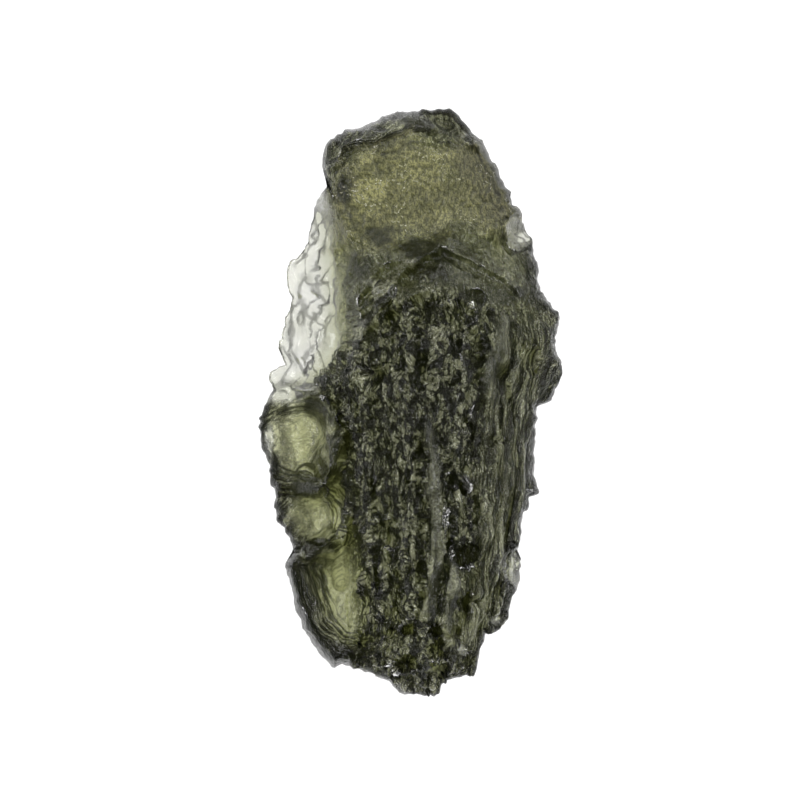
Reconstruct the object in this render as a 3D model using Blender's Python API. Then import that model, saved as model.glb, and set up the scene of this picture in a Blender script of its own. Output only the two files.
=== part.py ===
"""A natural moldavite: one piece of bottle-green glass, etched all over, lying on a small flat spot.

The shapes below are in millimetres and the mesh is in metres: X runs across the stone, Y along it towards its
smooth end, and Z up from the surface that it rests on. The origin is under the middle of the stone.
"""

import itertools

import bmesh
import bpy
import numpy as np

NAME = "moldavite"
METRES = 0.001

# Driving dimensions
LENGTH = 29.4
WIDTH = 15.0
THICKNESS = 7.7

# How fine the stone is modelled before it is simplified to its final number of triangles
CELLS_ACROSS = 84
CELLS_ALONG = 156
TRIANGLES = 9400
FLAT_TOLERANCE = 0.03

# The outline seen from above, anticlockwise from the left shoulder of the smooth end
OUTLINE = (
    # left side: shoulder, thin wing, three scoops, foot
    (-4.3, 12.7), (-4.4, 12.0), (-4.3, 11.4), (-4.1, 10.7), (-4.4, 10.5), (-4.65, 10.05), (-4.75, 9.5),
    (-5.0, 8.9), (-5.1, 8.0), (-5.4, 7.5), (-6.05, 7.0), (-6.2, 6.5), (-6.1, 5.85), (-5.9, 5.2),
    (-6.15, 4.2), (-6.45, 3.15), (-6.45, 2.6), (-6.2, 1.85), (-6.95, 1.5), (-7.0, 1.05), (-6.9, 0.65),
    (-7.05, 0.1), (-7.4, -0.75), (-7.5, -1.5), (-7.35, -2.15), (-7.05, -3.15), (-6.8, -4.3),
    (-6.75, -5.3), (-6.6, -5.95), (-6.15, -6.5), (-5.9, -7.15), (-5.85, -7.45), (-6.2, -8.0),
    (-6.15, -8.55), (-5.85, -9.3), (-5.75, -9.95), (-5.45, -10.7), (-5.35, -11.35), (-4.7, -12.25),
    (-4.25, -12.8), (-3.75, -13.3),
    # broken end
    (-3.4, -13.15), (-2.75, -13.3), (-2.0, -13.5), (-1.35, -13.75), (-0.9, -14.1), (-0.5, -14.45),
    (-0.05, -14.6), (0.7, -14.6), (1.25, -14.7), (1.45, -14.55), (1.55, -14.2), (1.95, -13.8),
    (2.55, -13.7), (3.2, -13.75),
    # right side: teeth and flutes
    (3.3, -13.55), (3.4, -12.9), (3.55, -12.1), (3.8, -11.65), (4.5, -11.3), (4.9, -10.8), (4.95, -9.95),
    (5.4, -9.2), (5.5, -8.45), (5.6, -7.95), (5.35, -7.45), (5.45, -6.7), (5.6, -5.6), (6.0, -4.85),
    (6.4, -4.4), (6.25, -4.1), (6.15, -3.65), (6.15, -2.7), (6.25, -1.7), (6.25, -0.65), (6.3, -0.25),
    (6.9, 0.05), (7.2, 0.65), (7.5, 1.3), (7.5, 1.95), (7.15, 3.15), (7.35, 3.8), (7.5, 4.25), (7.1, 4.7),
    (6.6, 5.5), (6.35, 6.3), (6.4, 6.6), (6.15, 7.6), (6.1, 8.1), (5.8, 8.55), (5.6, 9.0), (5.6, 9.4),
    (5.1, 9.8), (4.95, 10.2), (5.0, 10.35), (4.7, 10.7), (4.55, 11.15), (4.25, 11.75), (3.9, 12.35),
    (3.6, 13.0), (3.2, 13.4), (2.85, 13.75),
    # smooth end
    (2.55, 14.2), (2.2, 14.5), (1.5, 14.7), (0.8, 14.65), (-0.25, 14.5), (-1.15, 14.3), (-2.1, 13.9),
    (-3.3, 13.45), (-4.0, 13.1),
)

# Where the thick body's left flank stands, and the smoothed right edge: (y, x)
BODY_LEFT = (
    (-15.0, -3.0), (-11.9, -2.65), (-9.9, -2.6), (-7.9, -2.75), (-5.9, -2.9), (-3.9, -3.2), (-2.4, -3.3),
    (-1.3, -3.5), (0.0, -4.2), (0.9, -4.5), (1.85, -3.7), (3.1, -3.3), (5.1, -3.4), (7.1, -3.6),
    (9.35, -3.8), (10.6, -4.2), (11.4, -4.8), (15.0, -5.5),
)
RIGHT_EDGE = (
    (-15.0, 1.5), (-13.5, 3.4), (-11.0, 4.6), (-8.0, 5.4), (-5.0, 6.0), (0.0, 6.6), (3.0, 7.3), (5.0, 6.9),
    (8.0, 6.1), (10.0, 5.0), (12.0, 4.1), (13.5, 3.0), (15.0, 1.5),
)

# Height of the body's back along the stone, as a share of the thickness: (y, share)
BACK = (
    (-15.0, 0.52), (-13.0, 0.76), (-11.0, 0.85), (-8.0, 0.92), (-4.0, 0.98), (0.0, 1.0), (3.0, 0.96),
    (5.0, 0.88), (7.0, 0.77), (9.0, 0.69), (11.0, 0.66), (13.0, 0.64), (15.0, 0.5),
)
# How far the body's top falls towards each side, and over which shares of its width
LEFT_SHOULDER = 1.4
LEFT_SHOULDER_SPAN = (0.0, 0.4)
RIGHT_SHOULDER = 2.2
RIGHT_SHOULDER_SPAN = (0.5, 1.0)
RIGHT_SHOULDER_POWER = 1.3
LEFT_FLANK = (-0.5, 0.9)

# The shelf of thin glass left of the body: its thickness at the rim and beside the body, as (y, thickness),
# and where the slope between them begins and ends
SHELF_AT_RIM = ((-15.0, 2.4), (-9.0, 2.2), (-5.0, 1.8), (-1.0, 1.6), (0.8, 1.1), (2.2, 0.5), (15.0, 0.45))
SHELF_AT_BODY = (
    (-15.0, 2.8), (-9.0, 2.6), (-5.0, 3.0), (-1.0, 2.6), (0.8, 2.0), (2.2, 1.5), (6.0, 1.1), (15.0, 0.9),
)
SHELF_SLOPE = (-3.0, -0.3)

# The belly: where it is lowest, how far it reaches, how high it rises at the rim, how deep the worn flat cuts
BELLY = (0.7, -0.6)
BELLY_REACH = (6.8, 14.5)
BELLY_RISE = 1.65
FLAT_CUT = 0.2

# Where the upper side and the underside meet, how they are rounded into the rim, and the thinnest glass
SEAM = 0.45
ROUNDING = (0.2, 1.7)
THINNEST = 0.4

# The smooth facet at the upper end: its edge, its height along the stone, how much higher it is for each
# millimetre squared from the middle line, how wide its border is, and where the etching stops short of it
FACET = (
    (-4.6, 10.4), (-3.6, 12.2), (-2.3, 12.9), (-0.2, 13.3), (2.2, 13.2), (3.6, 13.6), (5.8, 10.6), (6.2, 8.9),
    (4.4, 7.9), (2.4, 8.4), (1.0, 7.8), (-0.4, 7.6), (-1.8, 7.3), (-3.4, 7.9),
)
FACET_HEIGHTS = ((7.0, 5.0), (9.0, 4.65), (12.0, 4.8), (15.0, 4.7))
FACET_DISH = 0.02
FACET_EDGE = (-0.5, 0.7)
FACET_ETCHING = (-0.3, 0.3)

# Scoops bitten out of the left side, with flanks that curve round them: centre, inner and outer radius, and
# the flank's height as a share of the body's
SCOOPS = (((-5.8, -2.0), 1.0, 2.5, 0.75), ((-5.2, -5.7), 0.8, 1.75, 0.5))
SCOOP_BACK = 0.8
SCOOP_OPENING = (-6.2, -4.4)

# Ridges that stand up, and grooves that cut in: line, half width, height
RIDGES = (
    (((-3.3, -6.7), (-4.7, -7.2), (-6.2, -8.1)), 0.7, 1.0),
    (((-3.4, -3.7), (-4.7, -4.1), (-6.6, -4.2)), 0.5, 0.5),
    (((-5.8, -8.6), (-5.3, -10.3), (-4.5, -11.9), (-3.7, -12.8)), 0.9, 1.2),
    (((0.98, -1.0), (1.1, -3.1), (1.2, -4.4), (1.25, -6.3), (1.3, -7.9), (0.85, -10.4)), 0.45, 0.5),
    (((2.1, -7.8), (2.15, -9.6), (1.9, -11.0), (1.85, -11.8)), 0.4, 0.4),
    (((-4.3, 11.3), (-3.4, 12.75), (-2.0, 13.35), (0.2, 13.85), (2.2, 13.6), (3.4, 12.7)), 0.4, 0.45),
    (((5.4, 3.6), (5.2, 1.2), (4.9, -1.0), (4.8, -3.7), (4.6, -5.6), (4.3, -7.0), (4.1, -9.9), (3.4, -12.6)),
     0.4, 0.5),
    (((5.6, 1.0), (5.5, -4.0), (5.1, -6.6), (4.85, -9.6)), 0.35, 0.4),
    (((-2.6, 2.9), (-1.8, 4.5), (-1.0, 5.8), (0.2, 7.0), (1.5, 7.8)), 0.45, 0.45),
    (((1.5, 7.8), (3.2, 7.0), (4.6, 6.3), (5.6, 5.5)), 0.4, 0.35),
    (((2.6, 3.4), (2.6, 1.6), (2.3, -0.4)), 0.4, 0.3),
    (((3.35, 3.6), (3.3, 1.8), (3.25, 0.1)), 0.65, -0.65),
    (((4.5, 1.7), (4.75, 0.6), (5.0, -0.3)), 0.35, -0.3),
    (((2.9, -0.4), (3.0, -2.0), (2.9, -3.4)), 0.4, -0.5),
    (((0.5, -1.5), (0.6, -4.5), (0.65, -8.0), (0.3, -10.8)), 0.35, -0.45),
    (((1.65, -5.2), (1.75, -7.4), (1.5, -9.6)), 0.4, -0.4),
    (((3.4, -5.0), (3.3, -8.5), (2.4, -11.4)), 0.35, -0.4),
    (((-1.6, -4.0), (-1.5, -8.0), (-1.3, -11.0)), 0.4, -0.35),
)

# Pits from above: centre, half sizes across and along, depth. A power under 1 gives them steeper walls
PIT_POWER = 0.8
PITS = (
    ((-0.4, 6.2), (1.4, 0.8), 0.7), ((1.7, 7.2), (0.5, 0.4), 0.4), ((2.5, 4.3), (0.8, 0.7), 0.7),
    ((0.7, 4.6), (0.85, 0.9), 0.75), ((-1.9, 4.9), (0.7, 0.9), 0.45), ((3.3, 5.2), (0.45, 0.4), 0.4),
    ((-0.9, 4.0), (0.6, 0.7), 0.45), ((2.15, -4.2), (0.7, 0.55), 0.85), ((2.7, -7.5), (0.7, 0.65), 0.85),
    ((4.1, -1.9), (0.35, 0.35), 0.45), ((4.65, -1.9), (0.3, 0.3), 0.4), ((1.35, -11.2), (0.5, 0.45), 0.6),
    ((1.4, -12.3), (0.6, 0.55), 0.8), ((2.6, -12.9), (0.7, 0.35), 0.5), ((2.9, -9.9), (0.65, 0.5), 0.7),
    ((-1.15, -11.7), (0.5, 0.4), 0.5), ((-2.2, -12.1), (0.75, 0.6), 0.7), ((-1.5, 1.2), (0.9, 0.7), 0.55),
    ((0.6, 1.5), (0.7, 0.9), 0.5), ((-2.2, -1.5), (0.7, 0.9), 0.5), ((-0.9, -6.5), (0.5, 0.8), 0.4),
    ((5.9, 2.2), (0.6, 0.9), 0.6), ((5.3, -8.3), (0.5, 1.2), 1.3), ((4.3, -10.9), (0.6, 0.5), 1.0),
    ((5.7, 8.6), (0.6, 1.1), 1.2),
)

# Etched hollows: their size across the stone, their depth above, on the facet and below. Along the stone
# they are round near the facet and drawn out below it: (y, hollows counted from the middle). Their rows bend
# with the right edge, as much as the widest place there is wider than the rest
HOLLOW = 1.1
FLOW_WIDTH = 6.9
FLOW_SPAN = (-1.0, 5.0)
HOLLOW_COUNT = ((-15.0, -6.2), (-8.0, -3.0), (-2.0, -0.4), (3.0, 2.2), (6.0, 4.6), (15.0, 12.5))
UPPER_DEPTH = 0.45
FACET_DEPTH = 0.05
UNDER_DEPTH = 0.4
UNDER_HOLLOW = 1.5
BOWL_HEIGHT = 0.6
RIM_FADE = 0.7

# Thin glass is etched less deeply: the least share, and the thickness from which it is etched in full
LEAST_ETCHING = 0.35
FULL_ETCHING = 3.0

# Seen from above, the grid is smooth inside and takes the ragged outline only near the rim
OUTLINE_STEPS = 8
OUTLINE_BEARINGS = 1440
OUTLINE_WAVES = 14
RIM_POWER = 8
RIM_CROWDING = 0.5

# The upper side reaches round the rim to where the surface faces down this much
UPPER_LIMIT = -0.2

GLASS = (0.11, 0.125, 0.045, 1.0)
ROUGHNESS = 0.28
IOR = 1.49


def eased(low, high, t):
    """0 below low, 1 above high, and a smooth rise between."""
    s = np.clip((t - low) / (high - low), 0.0, 1.0)
    return s * s * (3 - 2 * s)


def through(knots, t):
    """A smooth curve through knots, which are pairs of place and value, read at t."""
    place, value = np.array(knots, float).T
    slope = np.gradient(value, place)
    i = np.clip(np.searchsorted(place, t) - 1, 0, len(place) - 2)
    step = place[i + 1] - place[i]
    s = np.clip((t - place[i]) / step, 0.0, 1.0)
    return (
        value[i] * (1 + 2 * s) * (1 - s) ** 2
        + value[i + 1] * s * s * (3 - 2 * s)
        + slope[i] * step * s * (1 - s) ** 2
        - slope[i + 1] * step * s * s * (1 - s)
    )


def away_from(x, y, line):
    """Distance from each place to a line of points."""
    nearest = np.full(x.shape, np.inf)
    for (ax, ay), (bx, by) in itertools.pairwise(line):
        dx, dy = bx - ax, by - ay
        t = np.clip(((x - ax) * dx + (y - ay) * dy) / (dx * dx + dy * dy), 0.0, 1.0)
        nearest = np.minimum(nearest, np.hypot(x - ax - t * dx, y - ay - t * dy))
    return nearest


def inside(x, y, ring):
    """True for each place inside a closed ring of points."""
    found = np.zeros(x.shape, bool)
    for (ax, ay), (bx, by) in zip(ring, ring[1:] + ring[:1]):
        crosses = (ay > y) != (by > y)
        side = (bx - ax) * (y - ay) / (by - ay + 1e-12) + ax
        found ^= crosses & (x < side)
    return found


def within(x, y, ring):
    """Distance in from a closed ring of points, and less than 0 outside it."""
    return np.where(inside(x, y, ring), 1, -1) * away_from(x, y, ring + ring[:1])


def hashed(corner, seed):
    """A repeatable number from 0 to 1 for each row of whole numbers."""
    mixed = np.full(len(corner), seed, np.uint32)
    for column, prime in zip(corner.T, (73856093, 19349663, 83492791)):
        mixed ^= column.astype(np.int64).astype(np.uint32) * np.uint32(prime)
        mixed ^= mixed >> np.uint32(16)
        mixed = mixed * np.uint32(0x7FEB352D)
        mixed ^= mixed >> np.uint32(15)
    return mixed / 2.0**32


def bowls(points, seed):
    """Hollows side by side, one a unit: 0 at the bottom of each, about 1 on the sharp crests between them."""
    low = np.floor(points)
    nearest = np.full(len(points), np.inf)
    for step in itertools.product((-1, 0, 1), repeat=3):
        corner = low + step
        spot = np.stack([hashed(corner, seed + k) for k in range(3)], axis=1)
        nearest = np.minimum(nearest, ((points - corner - spot) ** 2).sum(axis=1))
    return np.minimum(nearest / BOWL_HEIGHT, 1.4)


def outline_radius(angle):
    """The outline's own distance from the middle in each direction, and the same smoothed."""
    ring = np.array(OUTLINE + OUTLINE[:1])
    sides = [np.linspace(a, b, OUTLINE_STEPS, endpoint=False) for a, b in itertools.pairwise(ring)]
    dense = np.concatenate(sides)
    bearing = np.arctan2(dense[:, 1], dense[:, 0])
    order = np.argsort(bearing)
    even = np.linspace(-np.pi, np.pi, OUTLINE_BEARINGS, endpoint=False)
    radius = np.interp(even, bearing[order], np.hypot(*dense.T)[order], period=2 * np.pi)
    waves = np.fft.rfft(radius)
    waves[OUTLINE_WAVES:] = 0
    smoothed = np.fft.irfft(waves, len(even))
    return (
        np.interp(angle, even, radius, period=2 * np.pi),
        np.interp(angle, even, smoothed, period=2 * np.pi),
    )


def spread(u, v):
    """Places in the outline for a square grid from -1 to 1, closer together near the rim."""
    u, v = ((1 - RIM_CROWDING) * t + RIM_CROWDING * np.sin(t * np.pi / 2) for t in (u, v))
    across = u * np.sqrt(1 - v * v / 2)
    along = v * np.sqrt(1 - u * u / 2)
    share = np.hypot(across, along)
    angle = np.arctan2(along * LENGTH, across * WIDTH)
    radius, smoothed = outline_radius(angle)
    reach = share * smoothed + (radius - smoothed) * share**RIM_POWER
    return reach * np.cos(angle), reach * np.sin(angle)


def belly(x, y):
    """Height of the underside before it is cut flat."""
    off = ((x - BELLY[0]) / BELLY_REACH[0]) ** 2 + ((y - BELLY[1]) / BELLY_REACH[1]) ** 2
    return BELLY_RISE * off - FLAT_CUT


def upper_form(x, y):
    """Height of the upper side: thin shelf, thick body, facet, scoops, ridges and pits."""
    left, right = through(BODY_LEFT, y), through(RIGHT_EDGE, y)
    share = (x - left) / (right - left)
    back = through(BACK, y) * THICKNESS
    body = back - LEFT_SHOULDER * (1 - eased(*LEFT_SHOULDER_SPAN, share))
    body -= RIGHT_SHOULDER * eased(*RIGHT_SHOULDER_SPAN, share) ** RIGHT_SHOULDER_POWER
    at_rim = through(SHELF_AT_RIM, y)
    shelf = belly(x, y) + at_rim + (through(SHELF_AT_BODY, y) - at_rim) * eased(*SHELF_SLOPE, x - left)
    top = shelf + (body - shelf) * eased(*LEFT_FLANK, x - left)
    for (cx, cy), inner, outer, height in SCOOPS:
        away = np.hypot(x - cx, y - cy)
        flank = eased(inner, outer, away) * eased(outer + SCOOP_BACK, outer, away)
        flank *= height * eased(*SCOOP_OPENING, x)
        top = np.maximum(top, shelf + (body - shelf) * flank)
    facet = through(FACET_HEIGHTS, y) + FACET_DISH * x * x
    top += (facet - top) * eased(*FACET_EDGE, within(x, y, FACET))
    for line, half_width, height in RIDGES:
        rise = eased(1.0, 0.0, away_from(x, y, line) / half_width)
        top += height * rise
    for (cx, cy), (rx, ry), depth in PITS:
        off = ((x - cx) / rx) ** 2 + ((y - cy) / ry) ** 2
        top -= depth * np.clip(1 - off, 0.0, 1.0) ** PIT_POWER
    return top


def etching(x, y, z, upper, rim):
    """How far the surface stands out along its normal, with hollows that follow the right edge."""
    bend = FLOW_WIDTH / through(RIGHT_EDGE, y)
    across = x * (1 + (bend - 1) * eased(*FLOW_SPAN, x)) / HOLLOW
    drawn = bowls(np.stack([across, through(HOLLOW_COUNT, y), z / HOLLOW], axis=1), 11)
    smooth = eased(*FACET_ETCHING, within(x, y, FACET))
    above = (UPPER_DEPTH + (FACET_DEPTH - UPPER_DEPTH) * smooth) * (drawn - 0.5)
    below = UNDER_DEPTH * (bowls(np.stack([x, y, z], axis=1) / UNDER_HOLLOW, 23) - 0.5)
    below *= eased(-FLAT_CUT, FLAT_CUT, belly(x, y))
    return np.where(upper, above, below) * eased(0.0, RIM_FADE, rim)


def pillow():
    """An upper and a lower grid sewn round the rim. Each point's z tells its side: 1, -1, or 0 on the rim."""
    bm = bmesh.new()
    for side in (1, -1):
        made = bmesh.ops.create_grid(bm, x_segments=CELLS_ACROSS, y_segments=CELLS_ALONG, size=1)
        for vert in made["verts"]:
            vert.co.z = 0 if vert.is_boundary else side
        if side < 0:
            faces = list({face for vert in made["verts"] for face in vert.link_faces})
            bmesh.ops.reverse_faces(bm, faces=faces)
    bmesh.ops.remove_doubles(bm, verts=bm.verts, dist=1e-5)
    mesh = bpy.data.meshes.new("fine surface")
    bm.to_mesh(mesh)
    bm.free()
    return mesh


def points_of(mesh):
    flat = np.empty(len(mesh.vertices) * 3, np.float32)
    mesh.vertices.foreach_get("co", flat)
    return flat.reshape(-1, 3).astype(float)


def normals_of(mesh):
    flat = np.empty(len(mesh.vertices) * 3, np.float32)
    mesh.vertex_normals.foreach_get("vector", flat)
    return flat.reshape(-1, 3).astype(float)


def place_points(mesh, points):
    mesh.vertices.foreach_set("co", points.astype(np.float32).ravel())
    mesh.update()


def shape(mesh):
    """Moves the pillow's points to the stone's surface, in metres."""
    u, v, side = points_of(mesh).T
    x, y = spread(u, v)
    rim = away_from(x, y, OUTLINE + OUTLINE[:1])
    top = upper_form(x, y)
    under = belly(x, y)
    top = np.maximum(top, under + THINNEST)
    middle = under + SEAM * (top - under)
    rounding = np.clip(SEAM * (top - under), *ROUNDING)
    closing = np.sqrt(1 - (1 - np.clip(rim / rounding, 0, 1)) ** 2)
    closing = np.where(side == 0, 0, closing)
    z = middle + np.where(side > 0, top - middle, under - middle) * closing
    points = np.stack([x, y, z], axis=1)
    place_points(mesh, points * METRES)
    normals = normals_of(mesh)
    thin = np.clip((top - under) / FULL_ETCHING, LEAST_ETCHING, 1.0)
    depth = etching(x, y, z, normals[:, 2] > UPPER_LIMIT, rim) * thin
    points += normals * depth[:, None]
    points[:, 2] = np.maximum(points[:, 2], 0)
    place_points(mesh, points * METRES)


def glass():
    material = bpy.data.materials.new("bottle green glass")
    material.use_nodes = True
    surface = material.node_tree.nodes["Principled BSDF"]
    surface.inputs["Base Color"].default_value = GLASS
    surface.inputs["Roughness"].default_value = ROUGHNESS
    surface.inputs["Metallic"].default_value = 0.0
    surface.inputs["IOR"].default_value = IOR
    return material


def simplified(mesh):
    """The same surface with fewer triangles, and its flat spot made exactly flat again."""
    fine = bpy.data.objects.new("fine surface", mesh)
    bpy.context.scene.collection.objects.link(fine)
    simpler = fine.modifiers.new("Simplify", "DECIMATE")
    simpler.ratio = TRIANGLES / (2 * len(mesh.polygons))
    evaluated = fine.evaluated_get(bpy.context.evaluated_depsgraph_get())
    simple = bpy.data.meshes.new_from_object(evaluated)
    bpy.data.objects.remove(fine)
    points = points_of(simple)
    points[points[:, 2] < FLAT_TOLERANCE * METRES, 2] = 0
    place_points(simple, points)
    return simple


def stone():
    fine = pillow()
    shape(fine)
    mesh = simplified(fine)
    mesh.name = NAME
    mesh.materials.append(glass())
    mesh.shade_smooth()
    return bpy.data.objects.new(NAME, mesh)


def main():
    for old in list(bpy.data.objects):
        bpy.data.objects.remove(old)
    collection = bpy.data.collections.new(NAME)
    bpy.context.scene.collection.children.link(collection)
    collection.objects.link(stone())


main()
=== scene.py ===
"""The looks of a natural moldavite: its etched surface, its glass, and a plain studio round it."""

import itertools

import bmesh
import bpy
import numpy as np
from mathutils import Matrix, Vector


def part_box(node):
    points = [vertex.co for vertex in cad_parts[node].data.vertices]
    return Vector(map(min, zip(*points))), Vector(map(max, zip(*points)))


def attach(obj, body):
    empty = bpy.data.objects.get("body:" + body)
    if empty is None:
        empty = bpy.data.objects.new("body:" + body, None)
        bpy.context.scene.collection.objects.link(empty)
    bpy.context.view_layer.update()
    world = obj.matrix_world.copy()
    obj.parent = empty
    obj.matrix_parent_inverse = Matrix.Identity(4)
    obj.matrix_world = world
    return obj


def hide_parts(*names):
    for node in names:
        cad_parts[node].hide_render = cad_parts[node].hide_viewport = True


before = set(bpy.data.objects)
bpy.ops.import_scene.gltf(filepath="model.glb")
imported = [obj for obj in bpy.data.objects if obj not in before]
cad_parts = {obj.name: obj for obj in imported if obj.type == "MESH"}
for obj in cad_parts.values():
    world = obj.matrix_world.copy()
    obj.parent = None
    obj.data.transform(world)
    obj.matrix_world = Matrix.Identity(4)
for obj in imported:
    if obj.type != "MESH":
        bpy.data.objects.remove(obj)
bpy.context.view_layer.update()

METRES = 0.001
CAD_LOW, CAD_HIGH = np.array(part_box("moldavite")) / METRES
WIDTH, LENGTH, HEIGHT = CAD_HIGH - CAD_LOW

# How fine the surface is modelled, and how many triangles are kept where it needs them most
CELLS_ACROSS = 270
CELLS_ALONG = 520
TRIANGLES = 195000

# The outline seen from above in millimetres, anticlockwise from the left shoulder of the smooth end
OUTLINE = (
    (-4.3, 12.7), (-4.4, 12.0), (-4.3, 11.4), (-4.1, 10.7), (-4.4, 10.5), (-4.65, 10.05), (-4.75, 9.5),
    (-5.0, 8.9), (-5.1, 8.0), (-5.4, 7.5), (-6.05, 7.0), (-6.2, 6.5), (-6.1, 5.85), (-5.9, 5.2),
    (-6.15, 4.2), (-6.45, 3.15), (-6.45, 2.6), (-6.2, 1.85), (-6.95, 1.5), (-7.0, 1.05), (-6.9, 0.65),
    (-7.05, 0.1), (-7.4, -0.75), (-7.5, -1.5), (-7.35, -2.15), (-7.05, -3.15), (-6.8, -4.3),
    (-6.75, -5.3), (-6.6, -5.95), (-6.15, -6.5), (-5.9, -7.15), (-5.85, -7.45), (-6.2, -8.0),
    (-6.15, -8.55), (-5.85, -9.3), (-5.75, -9.95), (-5.45, -10.7), (-5.35, -11.35), (-4.7, -12.25),
    (-4.25, -12.8), (-3.75, -13.3),
    (-3.4, -13.15), (-2.75, -13.3), (-2.0, -13.5), (-1.35, -13.75), (-0.9, -14.1), (-0.5, -14.45),
    (-0.05, -14.6), (0.7, -14.6), (1.25, -14.7), (1.45, -14.55), (1.55, -14.2), (1.95, -13.8),
    (2.55, -13.7), (3.2, -13.75),
    (3.3, -13.55), (3.4, -12.9), (3.55, -12.1), (3.8, -11.65), (4.5, -11.3), (4.9, -10.8), (4.95, -9.95),
    (5.4, -9.2), (5.5, -8.45), (5.6, -7.95), (5.35, -7.45), (5.45, -6.7), (5.6, -5.6), (6.0, -4.85),
    (6.4, -4.4), (6.25, -4.1), (6.15, -3.65), (6.15, -2.7), (6.25, -1.7), (6.25, -0.65), (6.3, -0.25),
    (6.9, 0.05), (7.2, 0.65), (7.5, 1.3), (7.5, 1.95), (7.15, 3.15), (7.35, 3.8), (7.5, 4.25), (7.1, 4.7),
    (6.6, 5.5), (6.35, 6.3), (6.4, 6.6), (6.15, 7.6), (6.1, 8.1), (5.8, 8.55), (5.6, 9.0), (5.6, 9.4),
    (5.1, 9.8), (4.95, 10.2), (5.0, 10.35), (4.7, 10.7), (4.55, 11.15), (4.25, 11.75), (3.9, 12.35),
    (3.6, 13.0), (3.2, 13.4), (2.85, 13.75),
    (2.55, 14.2), (2.2, 14.5), (1.5, 14.7), (0.8, 14.65), (-0.25, 14.5), (-1.15, 14.3), (-2.1, 13.9),
    (-3.3, 13.45), (-4.0, 13.1),
)

# The stone's large form, in millimetres: the solid has the same, but for its thin places
BODY_THICKNESS = 7.7
BODY_LEFT = (
    (-15.0, -3.0), (-11.9, -2.65), (-9.9, -2.6), (-7.9, -2.75), (-5.9, -2.9), (-3.9, -3.2), (-2.4, -3.3),
    (-1.3, -3.5), (0.0, -4.2), (0.9, -4.5), (1.85, -3.7), (3.1, -3.3), (5.1, -3.4), (7.1, -3.6),
    (9.35, -3.8), (10.6, -4.2), (11.4, -4.8), (15.0, -5.5),
)
RIGHT_EDGE = (
    (-15.0, 1.5), (-13.5, 3.4), (-11.0, 4.6), (-8.0, 5.4), (-5.0, 6.0), (0.0, 6.6), (3.0, 7.3), (5.0, 6.9),
    (8.0, 6.1), (10.0, 5.0), (12.0, 4.1), (13.5, 3.0), (15.0, 1.5),
)
BACK = (
    (-15.0, 0.52), (-13.0, 0.76), (-11.0, 0.85), (-8.0, 0.92), (-4.0, 0.98), (0.0, 1.0), (3.0, 0.96),
    (5.0, 0.88), (7.0, 0.77), (9.0, 0.69), (11.0, 0.66), (13.0, 0.64), (15.0, 0.5),
)
LEFT_SHOULDER = 1.4
RIGHT_SHOULDER = 2.2
LEFT_FLANK = (-0.5, 0.9)
SHELF_AT_RIM = ((-15.0, 2.4), (-9.0, 2.1), (-5.0, 1.5), (-1.5, 1.3), (0.0, 0.8), (1.2, 0.3), (15.0, 0.25))
SHELF_AT_BODY = (
    (-15.0, 2.8), (-9.0, 2.6), (-5.0, 3.0), (-1.0, 2.6), (0.8, 2.0), (2.2, 1.6), (6.0, 1.3), (15.0, 1.0),
)
SHELF_SLOPE = (-2.0, 0.0)
BELLY = (0.7, -0.6)
BELLY_REACH = (6.8, 14.5)
BELLY_RISE = 1.65
FLAT_CUT = 0.2
FACET = (
    (-4.6, 10.4), (-3.6, 12.2), (-2.3, 12.9), (-0.2, 13.3), (2.2, 13.2), (3.6, 13.6), (5.8, 10.6), (6.2, 8.9),
    (4.4, 7.9), (2.4, 8.4), (1.0, 7.8), (-0.4, 7.6), (-1.8, 7.3), (-3.4, 7.9),
)
FACET_HEIGHTS = ((7.0, 5.0), (9.0, 4.65), (12.0, 4.8), (15.0, 4.7))
SCOOPS = (((-5.8, -2.0), 1.0, 2.5, 0.75), ((-5.2, -5.7), 0.8, 1.75, 0.5))
SCOOP_BACK = 0.8
SCOOP_OPENING = (-6.2, -4.4)
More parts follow.
